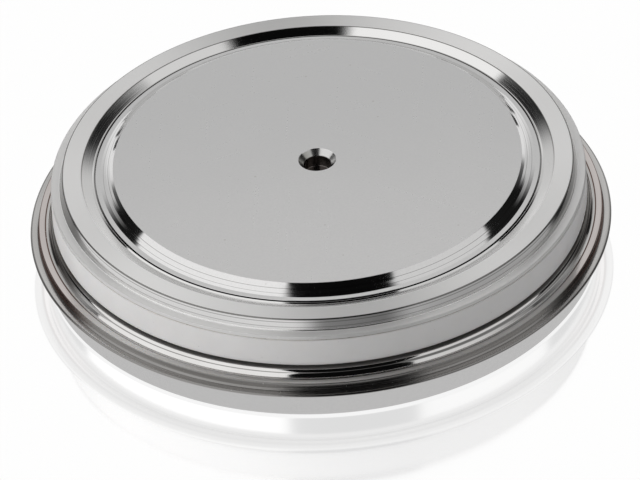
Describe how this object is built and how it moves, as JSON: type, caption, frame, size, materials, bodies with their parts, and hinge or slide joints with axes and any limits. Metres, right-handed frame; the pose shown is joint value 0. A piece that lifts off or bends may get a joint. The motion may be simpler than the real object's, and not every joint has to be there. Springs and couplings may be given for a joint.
{
  "type": "press-pack rectifier diode",
  "caption": "Flat ceramic capsule diode clamped between heat sinks: plated copper contact faces with centring holes, alumina ring, flexible metal membrane and welded rim.",
  "frame": {"origin": "on the device axis, at the anode contact face, where the part rests", "axes": "+Z along the device axis, from the anode face up to the cathode face; X and Y lie in the contact planes"},
  "size_m": [0.075, 0.075, 0.014],
  "materials": {
    "plated_copper": "satin nickel plating on copper",
    "plated_base": "satin nickel plating on copper",
    "membrane_sheet": "bright nickel plating on formed sheet",
    "flange_sheet": "bright nickel plating with heat tint at the weld",
    "alumina": "smooth fired alumina",
    "braze_alloy": "silver-copper braze, slightly tarnished",
    "silver_foil": "soft silver foil",
    "molybdenum": "lapped molybdenum",
    "silicon": "lapped and metallised silicon",
    "silicone_rubber": "cured silicone bead",
    "ring_plastic": "moulded fluoropolymer"
  },
  "bodies": {
    "root": {"cathode_pole_piece": "plated_copper", "cathode_braze_ring": "braze_alloy", "cathode_membrane": "membrane_sheet", "top_seal_braze": "braze_alloy", "ceramic_insulator": "alumina", "bottom_seal_braze": "braze_alloy", "case_weld_flange": "flange_sheet", "base_weld_flange": "flange_sheet", "base_braze_washer": "braze_alloy", "anode_pole_piece": "plated_base", "anode_silver_foil": "silver_foil", "anode_molybdenum_disc": "molybdenum", "silicon_wafer": "silicon", "edge_passivation_ring": "silicone_rubber", "cathode_molybdenum_disc": "molybdenum", "cathode_silver_foil": "silver_foil", "centring_ring": "ring_plastic"}
  },
  "joints": []
}
